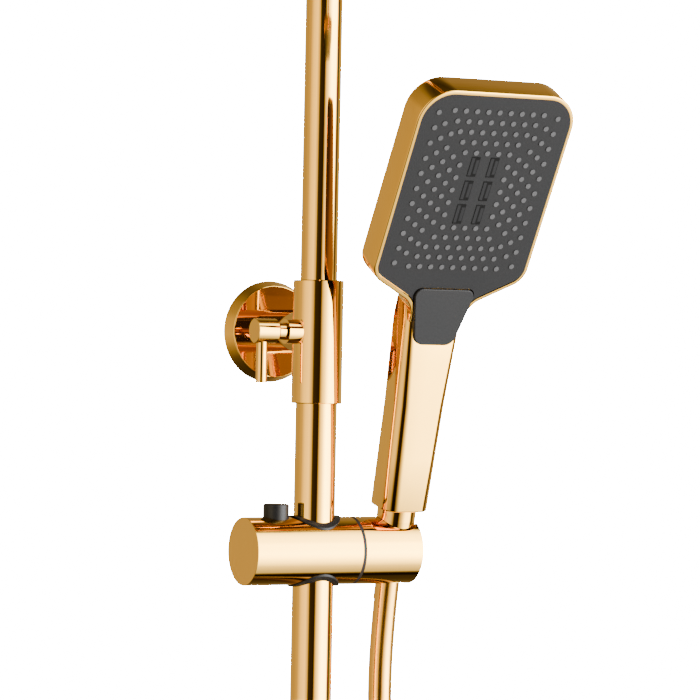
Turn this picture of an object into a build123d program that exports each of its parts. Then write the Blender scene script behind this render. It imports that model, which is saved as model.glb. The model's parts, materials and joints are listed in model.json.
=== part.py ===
"""Rainfall shower column: telescopic riser, overhead spray, sliding handset holder, handset, hose, diverter.

Frame: millimetres, +Z up, the wall is the plane Y = 0 and the column stands in front of it at negative Y.
The origin is on the wall at the middle of the upper bracket's wall plate.
"""

import math
import os

from build123d import *

# ---------------------------------------------------------------- driving dimensions
FIT = 0.05            # radial clearance of parts that are assembled and stay
RUNNING = 0.1         # radial clearance of parts that turn or slide in each other
GAP = 0.3             # clearance between surfaces that pass each other

STANDOFF = 62.0       # wall to riser axis
TUBE_D = 24.0         # lower riser tube
TUBE_WALL = 1.2
TUBE_TOP = -12.0      # heights are from the upper bracket's axis
TUBE_BOTTOM = -720.0
SPRAY_REACH = 350.0   # riser axis to overhead spray axis
ARM_HEIGHT = 310.0    # height of the overhead arm's horizontal run
ARM_BEND = 60.0
OUTLET_BEND = 30.0
OUTLET_DROP = 50.0
TELESCOPE_TRAVEL = 300.0
TELESCOPE_OVERLAP = 60.0

SLEEVE_D = 29.2
SLEEVE_TOP = 29.9
SLEEVE_BOTTOM = -41.3
BUSH_TOP = 25.9
ARM_D = 26.0
PLATE_D = 46.0
PLATE_T = 4.0
SPIGOT_D = 16.0
SPIGOT_LENGTH = 14.0
WALL_HOLE_R = 2.5
WALL_HOLE_SPACING = 34.0
ROSETTE_D = 60.0
ROSETTE_T = 8.0
ROSETTE_TAPER = 20.0
ROSETTE_WALL = 1.5
GRUB_R = 2.5
GRUB_OFFSET = 6.0     # grub screw axis in front of the wall plate

KNOB_D = 14.2
KNOB_LEFT = -41.0
KNOB_INNER = -26.8
BOSS_LEFT = -21.5
SPINDLE_R = 4.0
KNOB_NECK_R = 5.0
LEVER_D = 6.5
LEVER_X = -36.0
LEVER_TIP = -29.7
PAD_THICKNESS = 3.0
PAD_TRAVEL = 0.5

BARREL_D = 39.3
BARREL_Z = -126.4
BARREL_LEFT = -45.5
BARREL_SEAM = 22.7
BARREL_RIGHT = 62.2
CAP_T = 3.0
WASHER_T = 2.0
BUSH_D = 27.0
FLANGE_D = 30.2
FLANGE_T = 0.9
BUSH_DEPTH = 16.0
BUTTON_X = -24.8
BUTTON_D = 15.0
BUTTON_TOP = 27.2     # above the barrel axis
BUTTON_TRAVEL = 3.0
BUTTON_SKIRT = 12.0
POCKET_FLOOR = 6.5
STEM_R = 3.0
PLUNGER_R = 5.95
PLUNGER_TRAVEL = 0.8
TILT_CAVITY_D = 26.0
TILT_CAVITY_DEPTH = 11.0
TILT_BOLT_R = 4.0
TILT_HEAD_R = 8.0
TILT_HEAD_T = 4.0
FRICTION_T = 3.0

SOCKET_X = 51.5       # handset axis from the riser axis
SOCKET_LEAN = 13.0    # handset axis from upright, towards the room
SOCKET_TOP_R = 11.8
SOCKET_BOTTOM_R = 10.4
SOCKET_SLOT = 15.4
NUT_TOP = 26.3        # distances along the handset axis from the barrel axis
NUT_BOTTOM = -17.0
NUT_LEDGE = 8.3
THREAD_R = 10.3
WASHER_FACE = 10.0
HANDLE_BOTTOM = 26.6
KNEE = 139.5
HANDLE_FRONT = 15.4
FACE_TILT = 30.0
HEAD_W = 100.4
HEAD_TOP = 147.5      # distances up the face from the knee
HEAD_SHOULDER = 30.0
HEAD_T = 21.0
HEAD_CORNER = 20.0
SHOULDER_CORNER = 12.0
NECK_CORNER = 14.0
NECK_W = 36.8
NECK_S = 12.3
NECK_FOOT = -2.0
PLATE_FOOT = 5.5
BACK_ROUND = 4.5
RIM = 2.2
PLATE_DEPTH = 3.0
CAVITY_WALL = 3.0
WATERWAY_R = 5.2
WATERWAY_Q = 2.0      # waterway axis in front of the handset axis
WATERWAY_WALL = 1.2
MODE_TOP_W = 40.5
MODE_FOOT_W = 25.0
MODE_UP = 22.7
MODE_DOWN = 12.4
MODE_T = 7.0
MODE_PROUD = 1.0
MODE_TRAVEL = 1.5
HANDLE_SECTIONS = (
    # distance along the axis, width, front, back, corner
    (HANDLE_BOTTOM, 29.5, 14.6, -11.4, 8.0),
    (90.0, 32.0, 15.2, -8.5, 7.0),
    (KNEE, 36.0, HANDLE_FRONT, -6.0, 5.0),
    (152.0, 37.0, 14.0, -3.0, 4.5),
)

SPRAY_W = 236.0
SPRAY_CORNER = 48.0
SPRAY_T = 9.0
SPRAY_WALL = 2.0
SPRAY_PLATE_T = 2.5
BALL_R = 11.0
BALL_Z = 228.0
CAP_NUT_R = 19.0
CAP_NUT_TOP = 242.0
CAP_NUT_BOTTOM = 216.0
CAP_CAVITY_R = 16.0
STEM_FLANGE_Z = 250.0
STEM_NECK_R = 6.0
RING_R = 14.0
COLLAR_R = 13.5

DIVERTER_D = 40.0
DIVERTER_TOP = -704.0
DIVERTER_BOTTOM = -790.0
DIVERTER_Z = -750.0
CHAMBER_R = 8.0
NIPPLE_R = 10.4
NIPPLE_LENGTH = 12.0
INLET_R = 9.3
INLET_DEPTH = 16.0
CARTRIDGE_R = 12.0
CARTRIDGE_FRONT = 25.0
HANDLE_R = 17.0
HANDLE_LENGTH = 22.0
TUBE_NUT_R = 15.5
TUBE_NUT_H = 14.0

HOSE_D = 14.0
HOSE_BORE = 8.0
HOSE_START = 8.0      # hose end inside the conical nut, along the handset axis

# ---------------------------------------------------------------- derived sizes and planes
TUBE_R = TUBE_D / 2
TUBE_BORE = TUBE_R - TUBE_WALL
UPPER_R = TUBE_BORE - RUNNING
UPPER_BORE = UPPER_R - TUBE_WALL
UPPER_BOTTOM = TUBE_TOP - TELESCOPE_OVERLAP - TELESCOPE_TRAVEL
BARREL_R = BARREL_D / 2
HOSE_R = HOSE_D / 2
SPRAY_Y = -STANDOFF - SPRAY_REACH
HEAD_LEFT = BARREL_SEAM + WASHER_T + RUNNING
LEAN = math.radians(SOCKET_LEAN)
TILT = math.radians(FACE_TILT)
SOCKET = Vector(SOCKET_X, -STANDOFF, BARREL_Z)
AXIS = Vector(0, -math.sin(LEAN), math.cos(LEAN))
FRONT = Vector(0, -math.cos(LEAN), -math.sin(LEAN))
FACE_NORMAL = Vector(0, -math.cos(TILT), -math.sin(TILT))
FACE_UP = Vector(0, -math.sin(TILT), math.cos(TILT))
KNEE_POINT = SOCKET + AXIS * KNEE + FRONT * HANDLE_FRONT


def level(z, x=0.0, y=-STANDOFF):
    """A horizontal plane at height z, centred on the riser axis unless told otherwise."""
    return Plane(origin=(x, y, z), x_dir=(1, 0, 0), z_dir=(0, 0, 1))


def across(x, z=0.0, y=-STANDOFF):
    """A plane square to X at x, its normal pointing to +X."""
    return Plane(origin=(x, y, z), x_dir=(0, 1, 0), z_dir=(1, 0, 0))


def outward(y, z=0.0, x=0.0):
    """A plane parallel to the wall at y, its normal pointing into the room."""
    return Plane(origin=(x, y, z), x_dir=(1, 0, 0), z_dir=(0, -1, 0))


def along(s, q=0.0):
    """A plane square to the handset axis, s along it from the barrel axis and q in front of it."""
    return Plane(origin=SOCKET + AXIS * s + FRONT * q, x_dir=(1, 0, 0), z_dir=AXIS)


def face(depth=0.0):
    """The plane of the handset's spray face, depth behind it."""
    return Plane(origin=KNEE_POINT - FACE_NORMAL * depth, x_dir=(1, 0, 0), z_dir=FACE_NORMAL)


def tube_piece(plane, outer, inner, length):
    """A plain ring or tube standing on a plane."""
    with BuildPart() as piece:
        with BuildSketch(plane):
            Circle(outer)
            Circle(inner, mode=Mode.SUBTRACT)
        extrude(amount=length)
    return piece


def coil_piece(plane, radius, wire, height, turns):
    """A compression spring, its wire swept along a helix that stands on a plane."""
    pitch = (height - wire) / turns
    with BuildPart() as piece:
        with BuildLine() as coil:
            foot = plane.origin + plane.z_dir * (wire / 2)
            Helix(pitch=pitch, height=height - wire, radius=radius, center=foot, direction=plane.z_dir)
        with BuildSketch(Plane(origin=coil.line @ 0, z_dir=coil.line % 0)):
            Circle(wire / 2)
        sweep(path=coil.line, is_frenet=True)
    return piece


pieces = {}

# ---------------------------------------------------------------- upper bracket
with BuildPart() as wall_plate:
    with BuildSketch(outward(0)):
        Circle(PLATE_D / 2)
        with Locations((0, WALL_HOLE_SPACING / 2), (0, -WALL_HOLE_SPACING / 2)):
            Circle(WALL_HOLE_R, mode=Mode.SUBTRACT)
    extrude(amount=PLATE_T)
    with BuildSketch(outward(-PLATE_T)):
        Circle(SPIGOT_D / 2)
    extrude(amount=SPIGOT_LENGTH)
pieces["wall_plate"] = wall_plate


def rosette(z):
    """A tapered wall cover with a hole for the arm, hollow behind."""
    with BuildPart() as cover:
        with BuildSketch(outward(0, z)):
            Circle(ROSETTE_D / 2)
        extrude(amount=ROSETTE_T, taper=ROSETTE_TAPER)
        fillet(cover.faces().sort_by(Axis.Y)[0].edges(), ROSETTE_WALL / 2)
        with BuildSketch(outward(0, z)):
            Circle(ROSETTE_D / 2 - ROSETTE_WALL)
        extrude(amount=ROSETTE_T - ROSETTE_WALL, taper=ROSETTE_TAPER, mode=Mode.SUBTRACT)
        with BuildSketch(outward(0, z)):
            Circle(ARM_D / 2 + FIT)
        extrude(amount=ROSETTE_T, mode=Mode.SUBTRACT)
    return cover


pieces["wall_rosette"] = rosette(0)
pieces["inlet_rosette"] = rosette(DIVERTER_Z)

with BuildPart() as bracket_body:
    with BuildSketch(level(SLEEVE_BOTTOM)):
        Circle(SLEEVE_D / 2)
    extrude(amount=SLEEVE_TOP - SLEEVE_BOTTOM)
    chamfer(bracket_body.edges().filter_by(GeomType.CIRCLE), FLANGE_T / 2)
    with BuildSketch(outward(-PLATE_T)):
        Circle(ARM_D / 2)
    extrude(amount=STANDOFF - PLATE_T)
    with BuildSketch(across(BOSS_LEFT)):
        Circle(KNOB_D / 2)
    extrude(amount=-BOSS_LEFT)
    with BuildSketch(level(SLEEVE_BOTTOM)):
        Circle(TUBE_R + FIT)
    extrude(amount=BUSH_TOP - SLEEVE_BOTTOM, mode=Mode.SUBTRACT)
    with BuildSketch(level(BUSH_TOP)):
        Circle(UPPER_R + GAP)
    extrude(amount=SLEEVE_TOP - BUSH_TOP, mode=Mode.SUBTRACT)
    with BuildSketch(outward(-PLATE_T)):
        Circle(SPIGOT_D / 2 + FIT)
    extrude(amount=SPIGOT_LENGTH + GAP, mode=Mode.SUBTRACT)
    with BuildSketch(across(BOSS_LEFT)):
        Circle(SPINDLE_R + RUNNING)
    extrude(amount=-BOSS_LEFT - UPPER_R, mode=Mode.SUBTRACT)
    with BuildSketch(level(-ARM_D / 2, 0, -PLATE_T - GRUB_OFFSET)):
        Circle(GRUB_R + FIT)
    extrude(amount=ARM_D / 2 - SPIGOT_D / 2 + FIT, mode=Mode.SUBTRACT)
pieces["bracket_body"] = bracket_body

with BuildPart() as arm_grub_screw:
    with BuildSketch(level(-ARM_D / 2 + GAP, 0, -PLATE_T - GRUB_OFFSET)):
        Circle(GRUB_R)
    extrude(amount=ARM_D / 2 - SPIGOT_D / 2 - GAP)
    with BuildSketch(level(-ARM_D / 2 + GAP, 0, -PLATE_T - GRUB_OFFSET)):
        RegularPolygon(GRUB_R / 2, 6)
    extrude(amount=GRUB_R, mode=Mode.SUBTRACT)
pieces["arm_grub_screw"] = arm_grub_screw

with BuildPart() as guide_bush:
    with BuildSketch(level(TUBE_TOP)):
        Circle(TUBE_R)
        Circle(UPPER_R + RUNNING, mode=Mode.SUBTRACT)
    extrude(amount=BUSH_TOP - TUBE_TOP)
    with BuildSketch(across(-TUBE_R - FIT)):
        Circle(SPINDLE_R + GAP)
    extrude(amount=TUBE_R, mode=Mode.SUBTRACT)
pieces["guide_bush"] = guide_bush

with BuildPart() as clamp_pad:
    with BuildSketch(across(-UPPER_R - PAD_THICKNESS)):
        Circle(SPINDLE_R)
    extrude(amount=PAD_THICKNESS + TUBE_WALL)
    with BuildSketch(level(-SPINDLE_R)):
        Circle(UPPER_R + FIT)
    extrude(amount=SPINDLE_R * 2, mode=Mode.SUBTRACT)
pieces["clamp_pad"] = clamp_pad

with BuildPart() as lock_knob:
    with BuildSketch(across(KNOB_LEFT)):
        Circle(KNOB_D / 2)
    extrude(amount=KNOB_INNER - KNOB_LEFT)
    chamfer(lock_knob.edges().filter_by(GeomType.CIRCLE).group_by(Axis.X)[-1], TUBE_WALL)
    chamfer(lock_knob.edges().filter_by(GeomType.CIRCLE).group_by(Axis.X)[0], GAP)
    with BuildSketch(across(KNOB_INNER)):
        Circle(KNOB_NECK_R)
    extrude(amount=BOSS_LEFT - GAP - KNOB_INNER)
    with BuildSketch(across(KNOB_INNER)):
        Circle(SPINDLE_R)
    extrude(amount=-UPPER_R - PAD_THICKNESS - PAD_TRAVEL - GAP - KNOB_INNER)
    with BuildSketch(level(-KNOB_D / 2, LEVER_X)):
        Circle(LEVER_D / 2 + FIT)
    extrude(amount=KNOB_D / 4, mode=Mode.SUBTRACT)
pieces["lock_knob"] = lock_knob

with BuildPart() as lock_lever:
    with BuildSketch(level(LEVER_TIP, LEVER_X)):
        Circle(LEVER_D / 2)
    extrude(amount=-KNOB_D / 4 - LEVER_TIP)
    fillet(lock_lever.edges().group_by(Axis.Z)[0], GAP)
pieces["lock_lever"] = lock_lever

# ---------------------------------------------------------------- riser tubes and overhead arm
pieces["lower_tube"] = tube_piece(level(TUBE_BOTTOM), TUBE_R, TUBE_BORE, TUBE_TOP - TUBE_BOTTOM)

with BuildPart() as upper_tube:
    with BuildLine():
        FilletPolyline(
            (0, -STANDOFF, UPPER_BOTTOM),
            (0, -STANDOFF, ARM_HEIGHT),
            (0, SPRAY_Y, ARM_HEIGHT),
            (0, SPRAY_Y, ARM_HEIGHT - OUTLET_DROP),
            radius=[ARM_BEND, OUTLET_BEND],
        )
    with BuildSketch(level(UPPER_BOTTOM)):
        Circle(UPPER_R)
        Circle(UPPER_BORE, mode=Mode.SUBTRACT)
    sweep()
pieces["upper_tube"] = upper_tube

CARRIER_GROOVE = 2.2
CARRIER_H = 12.0
CARRIER_FOOT = UPPER_BOTTOM - GAP - CARRIER_H
GROOVE_LEVELS = [CARRIER_FOOT + share * CARRIER_H / 3 - CARRIER_GROOVE / 2 for share in (1, 2)]
with BuildPart() as seal_carrier:
    with BuildSketch(level(CARRIER_FOOT)):
        Circle(UPPER_R)
    extrude(amount=CARRIER_H)
    with BuildSketch(level(UPPER_BOTTOM - GAP)):
        Circle(UPPER_BORE - RUNNING)
    extrude(amount=CARRIER_H)
    for groove_level in GROOVE_LEVELS:
        with BuildSketch(level(groove_level)):
            Circle(UPPER_R)
            Circle(UPPER_R - CARRIER_GROOVE, mode=Mode.SUBTRACT)
        extrude(amount=CARRIER_GROOVE, mode=Mode.SUBTRACT)
    with BuildSketch(level(CARRIER_FOOT)):
        Circle(STEM_NECK_R)
    extrude(amount=CARRIER_H * 2, mode=Mode.SUBTRACT)
pieces["seal_carrier"] = seal_carrier

with BuildPart() as telescope_seals:
    for groove_level in GROOVE_LEVELS:
        with BuildSketch(level(groove_level)):
            Circle(UPPER_R + FIT)
            Circle(UPPER_R - CARRIER_GROOVE, mode=Mode.SUBTRACT)
        extrude(amount=CARRIER_GROOVE)
pieces["telescope_seals"] = telescope_seals

OUTLET_Z = ARM_HEIGHT - OUTLET_DROP
with BuildPart() as arm_collar:
    with BuildSketch(level(OUTLET_Z - FLANGE_T, 0, SPRAY_Y)):
        Circle(COLLAR_R)
        Circle(UPPER_R + FIT, mode=Mode.SUBTRACT)
    extrude(amount=TUBE_NUT_H)
    chamfer(arm_collar.edges().group_by(Axis.Z)[-1].sort_by(SortBy.LENGTH)[-1], FLANGE_T)
pieces["arm_collar"] = arm_collar

with BuildPart() as ball_stem:
    with BuildSketch(level(STEM_FLANGE_Z, 0, SPRAY_Y)):
        Circle(UPPER_BORE - FIT)
    extrude(amount=OUTLET_Z - STEM_FLANGE_Z + TUBE_NUT_H)
    with BuildSketch(level(BALL_Z, 0, SPRAY_Y)):
        Circle(STEM_NECK_R)
    extrude(amount=STEM_FLANGE_Z - BALL_Z)
    with Locations((0, SPRAY_Y, BALL_Z)):
        Sphere(BALL_R)
    with BuildSketch(level(BALL_Z - BALL_R, 0, SPRAY_Y)):
        Circle(STEM_NECK_R / 2)
    extrude(amount=OUTLET_Z + TUBE_NUT_H - BALL_Z + BALL_R, mode=Mode.SUBTRACT)
pieces["ball_stem"] = ball_stem

RING_LOW = 2.0
RING_HIGH = 7.0
with BuildPart() as swivel_ring:
    with BuildSketch(level(BALL_Z + RING_LOW, 0, SPRAY_Y)):
        Circle(RING_R)
    extrude(amount=RING_HIGH - RING_LOW)
    with Locations((0, SPRAY_Y, BALL_Z)):
        Sphere(BALL_R + GAP, mode=Mode.SUBTRACT)
pieces["swivel_ring"] = swivel_ring

with BuildPart() as ball_cap_nut:
    with BuildSketch(level(CAP_NUT_BOTTOM, 0, SPRAY_Y)):
        Circle(CAP_NUT_R)
    extrude(amount=CAP_NUT_TOP - CAP_NUT_BOTTOM)
    fillet(ball_cap_nut.edges().group_by(Axis.Z)[-1], RING_LOW)
    with Locations((0, SPRAY_Y, BALL_Z)):
        Sphere(CAP_CAVITY_R, mode=Mode.SUBTRACT)
    with BuildSketch(level(BALL_Z, 0, SPRAY_Y)):
        Circle(BALL_R)
    extrude(amount=CAP_NUT_TOP - BALL_Z, mode=Mode.SUBTRACT)
pieces["ball_cap_nut"] = ball_cap_nut

SPRAY_BOTTOM = CAP_NUT_BOTTOM - NIPPLE_LENGTH - SPRAY_T
with BuildPart() as rain_head_shell:
    with BuildSketch(level(SPRAY_BOTTOM, 0, SPRAY_Y)):
        RectangleRounded(SPRAY_W, SPRAY_W, SPRAY_CORNER)
    extrude(amount=SPRAY_T)
    fillet(rain_head_shell.edges().group_by(Axis.Z)[-1], SPRAY_T / 3)
    with BuildSketch(level(CAP_NUT_BOTTOM, 0, SPRAY_Y)):
        Circle(CAP_NUT_R)
    extrude(amount=-NIPPLE_LENGTH, taper=-SOCKET_LEAN)
    with BuildSketch(level(SPRAY_BOTTOM, 0, SPRAY_Y)):
        RectangleRounded(SPRAY_W - 2 * SPRAY_WALL, SPRAY_W - 2 * SPRAY_WALL, SPRAY_CORNER - SPRAY_WALL)
    extrude(amount=SPRAY_T - SPRAY_WALL * 3 / 2, mode=Mode.SUBTRACT)
    with Locations((0, SPRAY_Y, BALL_Z)):
        Sphere(CAP_CAVITY_R, mode=Mode.SUBTRACT)
    with BuildSketch(level(SPRAY_BOTTOM, 0, SPRAY_Y)):
        Circle(STEM_NECK_R)
    extrude(amount=NIPPLE_LENGTH + SPRAY_T, mode=Mode.SUBTRACT)
pieces["rain_head_shell"] = rain_head_shell

PLATE_W = SPRAY_W - 2 * SPRAY_WALL - 2 * FIT
with BuildPart() as rain_head_plate:
    with BuildSketch(level(SPRAY_BOTTOM, 0, SPRAY_Y)):
        RectangleRounded(PLATE_W, PLATE_W, SPRAY_CORNER - SPRAY_WALL)
    extrude(amount=SPRAY_PLATE_T)
pieces["rain_head_plate"] = rain_head_plate

with BuildPart() as rain_head_gasket:
    with BuildSketch(level(SPRAY_BOTTOM + SPRAY_PLATE_T, 0, SPRAY_Y)):
        RectangleRounded(PLATE_W, PLATE_W, SPRAY_CORNER - SPRAY_WALL)
        RectangleRounded(
            PLATE_W - SPRAY_T, PLATE_W - SPRAY_T, SPRAY_CORNER - SPRAY_WALL - SPRAY_T / 2, mode=Mode.SUBTRACT
        )
    extrude(amount=SPRAY_T - SPRAY_WALL * 3 / 2 - SPRAY_PLATE_T)
pieces["rain_head_gasket"] = rain_head_gasket

SPRAY_GRID = 9
SPRAY_PITCH = 22.0
TIP_R = 1.6
TIP_H = 1.4
with BuildPart() as rain_head_nozzles:
    with BuildSketch(level(SPRAY_BOTTOM, 0, SPRAY_Y)):
        with GridLocations(SPRAY_PITCH, SPRAY_PITCH, SPRAY_GRID, SPRAY_GRID):
            Circle(TIP_R)
    extrude(amount=-TIP_H)
pieces["rain_head_nozzles"] = rain_head_nozzles

# ---------------------------------------------------------------- slider and its rail brake
with BuildPart() as slider_body:
    with BuildSketch(across(BARREL_LEFT + CAP_T, BARREL_Z)):
        Circle(BARREL_R)
    extrude(amount=BARREL_SEAM - BARREL_LEFT - CAP_T)
    with BuildSketch(level(BARREL_Z - BARREL_R)):
        Circle(BUSH_D / 2 + FIT)
    extrude(amount=BARREL_D, mode=Mode.SUBTRACT)
    with BuildSketch(level(BARREL_Z + POCKET_FLOOR, BUTTON_X)):
        Circle(BUTTON_D / 2 + GAP)
    extrude(amount=BARREL_R, mode=Mode.SUBTRACT)
    with BuildSketch(level(BARREL_Z, BUTTON_X)):
        Circle(STEM_R + GAP)
    extrude(amount=BARREL_R, mode=Mode.SUBTRACT)
    with BuildSketch(across(BARREL_LEFT + CAP_T, BARREL_Z)):
        Circle(PLUNGER_R + RUNNING)
    extrude(amount=-BARREL_LEFT - CAP_T - TUBE_R, mode=Mode.SUBTRACT)
    with BuildSketch(across(BUSH_D / 2, BARREL_Z)):
        Circle(TILT_BOLT_R + FIT)
    extrude(amount=BARREL_SEAM - BUSH_D / 2, mode=Mode.SUBTRACT)
pieces["slider_body"] = slider_body

PLUG_LENGTH = 3.0
with BuildPart() as slider_end_cap:
    with BuildSketch(across(BARREL_LEFT, BARREL_Z)):
        Circle(BARREL_R)
    extrude(amount=CAP_T)
    fillet(slider_end_cap.edges().group_by(Axis.X)[0], GAP)
    with BuildSketch(across(BARREL_LEFT + CAP_T, BARREL_Z)):
        Circle(PLUNGER_R)
    extrude(amount=PLUG_LENGTH)
pieces["slider_end_cap"] = slider_end_cap


def rail_bush(side):
    """A guide bush whose flange lies on the barrel, above it for side 1 and below it for side -1."""
    start = BARREL_Z + side * (BARREL_R - BUSH_DEPTH)
    with BuildPart() as bush:
        with BuildSketch(level(start)):
            Circle(FLANGE_D / 2)
            Circle(TUBE_R + RUNNING, mode=Mode.SUBTRACT)
        extrude(amount=side * BARREL_R)
        with BuildSketch(across(-FLANGE_D / 2, BARREL_Z)):
            Circle(BARREL_R + FLANGE_T)
        extrude(amount=FLANGE_D, mode=Mode.INTERSECT)
        add(seat_relief.part, mode=Mode.SUBTRACT)
    return bush


with BuildPart() as seat_relief:
    with BuildSketch(across(-FLANGE_D / 2, BARREL_Z)):
        Circle(BARREL_R + FIT)
    extrude(amount=FLANGE_D)
    with BuildSketch(level(BARREL_Z - BARREL_D)):
        Circle(BUSH_D / 2)
    extrude(amount=BARREL_D * 2, mode=Mode.SUBTRACT)

pieces["guide_bush_upper"] = rail_bush(1)
pieces["guide_bush_lower"] = rail_bush(-1)

SPRING_WIRE = 0.8
with BuildPart() as release_button:
    with BuildSketch(level(BARREL_Z + BUTTON_SKIRT, BUTTON_X)):
        Circle(BUTTON_D / 2)
    extrude(amount=BUTTON_TOP - BUTTON_SKIRT)
    fillet(release_button.edges().group_by(Axis.Z)[-1], FLANGE_T)
    with BuildSketch(level(BARREL_Z + BUTTON_SKIRT, BUTTON_X)):
        Circle(STEM_R)
    extrude(amount=BUTTON_TRAVEL + GAP + STEM_R / 2 - BUTTON_SKIRT)
pieces["release_button"] = release_button

pieces["button_spring"] = coil_piece(
    level(BARREL_Z + POCKET_FLOOR + FIT, BUTTON_X),
    STEM_R + SPRING_WIRE * 2,
    SPRING_WIRE,
    BUTTON_SKIRT - POCKET_FLOOR - 2 * FIT,
    3,
)

PLUNGER_LEFT = BARREL_LEFT + CAP_T + PLUG_LENGTH + 6.0
with BuildPart() as brake_plunger:
    with BuildSketch(across(PLUNGER_LEFT, BARREL_Z)):
        Circle(PLUNGER_R)
    extrude(amount=-PLUNGER_LEFT - TUBE_R + TUBE_WALL * 2)
    with BuildSketch(level(BARREL_Z - PLUNGER_R)):
        Circle(TUBE_R + RUNNING)
    extrude(amount=PLUNGER_R * 2, mode=Mode.SUBTRACT)
    with BuildSketch(level(BARREL_Z - PLUNGER_R, BUTTON_X)):
        SlotCenterToCenter(PLUNGER_TRAVEL * 2, (STEM_R + GAP) * 2)
    extrude(amount=PLUNGER_R * 2, mode=Mode.SUBTRACT)
pieces["brake_plunger"] = brake_plunger

BUSH_WINDOW_R = PLUNGER_R + GAP
with BuildPart() as brake_spring_space:
    with BuildSketch(across(-BUSH_D / 2, BARREL_Z)):
        Circle(BUSH_WINDOW_R)
    extrude(amount=BUSH_D / 2)

pieces["brake_spring"] = coil_piece(
    across(BARREL_LEFT + CAP_T + PLUG_LENGTH + FIT, BARREL_Z),
    PLUNGER_R - SPRING_WIRE * 2,
    SPRING_WIRE,
    PLUNGER_LEFT - BARREL_LEFT - CAP_T - PLUG_LENGTH - 2 * FIT,
    3,
)

for bush_name in ("guide_bush_upper", "guide_bush_lower"):
    with BuildPart() as windowed_bush:
        add(pieces[bush_name].part)
        add(brake_spring_space.part, mode=Mode.SUBTRACT)
    pieces[bush_name] = windowed_bush

# ---------------------------------------------------------------- turning holder at the slider's right
pieces["tilt_washer"] = tube_piece(across(BARREL_SEAM, BARREL_Z), BARREL_R, TILT_BOLT_R + FIT, WASHER_T)

PLATE_X = HEAD_LEFT + GAP
BOLT_HEAD_X = PLATE_X + FRICTION_T + WASHER_T
with BuildPart() as holder_head:
    with BuildSketch(across(HEAD_LEFT, BARREL_Z)):
        Circle(BARREL_R)
    extrude(amount=BARREL_RIGHT - HEAD_LEFT)
    fillet(holder_head.edges().group_by(Axis.X)[-1], GAP)
    with BuildSketch(across(HEAD_LEFT, BARREL_Z)):
        Circle(TILT_CAVITY_D / 2)
    extrude(amount=TILT_CAVITY_DEPTH, mode=Mode.SUBTRACT)
    with BuildSketch(along(BARREL_R + WASHER_T)):
        Circle(SOCKET_TOP_R)
    with BuildSketch(along(-BARREL_R - WASHER_T)):
        Circle(SOCKET_BOTTOM_R)
    loft(mode=Mode.SUBTRACT)
    with BuildSketch(along(-BARREL_R - WASHER_T)):
        with Locations((SOCKET_SLOT, 0)):
            Rectangle(SOCKET_SLOT * 2, SOCKET_SLOT)
    extrude(amount=BARREL_D + WASHER_T * 2, mode=Mode.SUBTRACT)
pieces["holder_head"] = holder_head

pieces["friction_plate"] = tube_piece(
    across(PLATE_X, BARREL_Z), TILT_CAVITY_D / 2 - FIT, TILT_BOLT_R + RUNNING, FRICTION_T
)

with BuildPart() as tilt_bolt:
    with BuildSketch(across(BUSH_D / 2 + GAP * 2, BARREL_Z)):
        Circle(TILT_BOLT_R)
    extrude(amount=BOLT_HEAD_X - BUSH_D / 2 - GAP * 2)
    with BuildSketch(across(BOLT_HEAD_X, BARREL_Z)):
        Circle(TILT_HEAD_R)
    extrude(amount=TILT_HEAD_T)
    with BuildSketch(across(BOLT_HEAD_X + TILT_HEAD_T, BARREL_Z)):
        RegularPolygon(TILT_BOLT_R * 2 / 3, 6)
    extrude(amount=-TILT_HEAD_T / 2, mode=Mode.SUBTRACT)
pieces["tilt_bolt"] = tilt_bolt

pieces["tilt_spring_washer"] = tube_piece(
    across(PLATE_X + FRICTION_T + RUNNING, BARREL_Z), TILT_HEAD_R, TILT_BOLT_R + FIT, WASHER_T - RUNNING
)

# ---------------------------------------------------------------- hose nut in the holder
NUT_GAP = GAP + FIT


def socket_radius(s):
    """The socket's wall radius at a distance along the handset axis."""
    share = (s + BARREL_R + WASHER_T) / (2 * (BARREL_R + WASHER_T))
    return SOCKET_BOTTOM_R + (SOCKET_TOP_R - SOCKET_BOTTOM_R) * share


with BuildPart() as hose_upper_nut:
    with BuildSketch(along(NUT_BOTTOM)):
        Circle(socket_radius(NUT_BOTTOM) - NUT_GAP)
    with BuildSketch(along(BARREL_R)):
        Circle(socket_radius(BARREL_R) - NUT_GAP)
    loft()
    with BuildSketch(along(BARREL_R)):
        Circle(socket_radius(BARREL_R) - NUT_GAP)
    extrude(amount=NUT_TOP - BARREL_R)
    fillet(hose_upper_nut.faces().sort_by(Axis(SOCKET, AXIS))[-1].edges(), GAP)
    with BuildSketch(along(NUT_BOTTOM)):
        Circle(HOSE_R + GAP)
    extrude(amount=NUT_LEDGE - NUT_BOTTOM, mode=Mode.SUBTRACT)
    with BuildSketch(along(NUT_LEDGE)):
        Circle(THREAD_R + RUNNING)
    extrude(amount=NUT_TOP - NUT_LEDGE, mode=Mode.SUBTRACT)
pieces["hose_upper_nut"] = hose_upper_nut

pieces["hose_upper_washer"] = tube_piece(
    along(NUT_LEDGE), THREAD_R, HOSE_BORE / 2, WASHER_FACE - NUT_LEDGE - RUNNING
)

# ---------------------------------------------------------------- handset
THREAD_TOP = 34.0
INLET_TOP = 46.0
INLET_STEP_R = 7.5
with BuildPart() as handset_inlet:
    with BuildSketch(along(WASHER_FACE)):
        Circle(THREAD_R)
    extrude(amount=THREAD_TOP - WASHER_FACE)
    with BuildSketch(along(THREAD_TOP)):
        Circle(INLET_STEP_R)
    extrude(amount=INLET_TOP - THREAD_TOP)
    with BuildSketch(along(WASHER_FACE)):
        Circle(HOSE_BORE / 2)
    extrude(amount=INLET_TOP - WASHER_FACE, mode=Mode.SUBTRACT)
pieces["handset_inlet"] = handset_inlet


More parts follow.
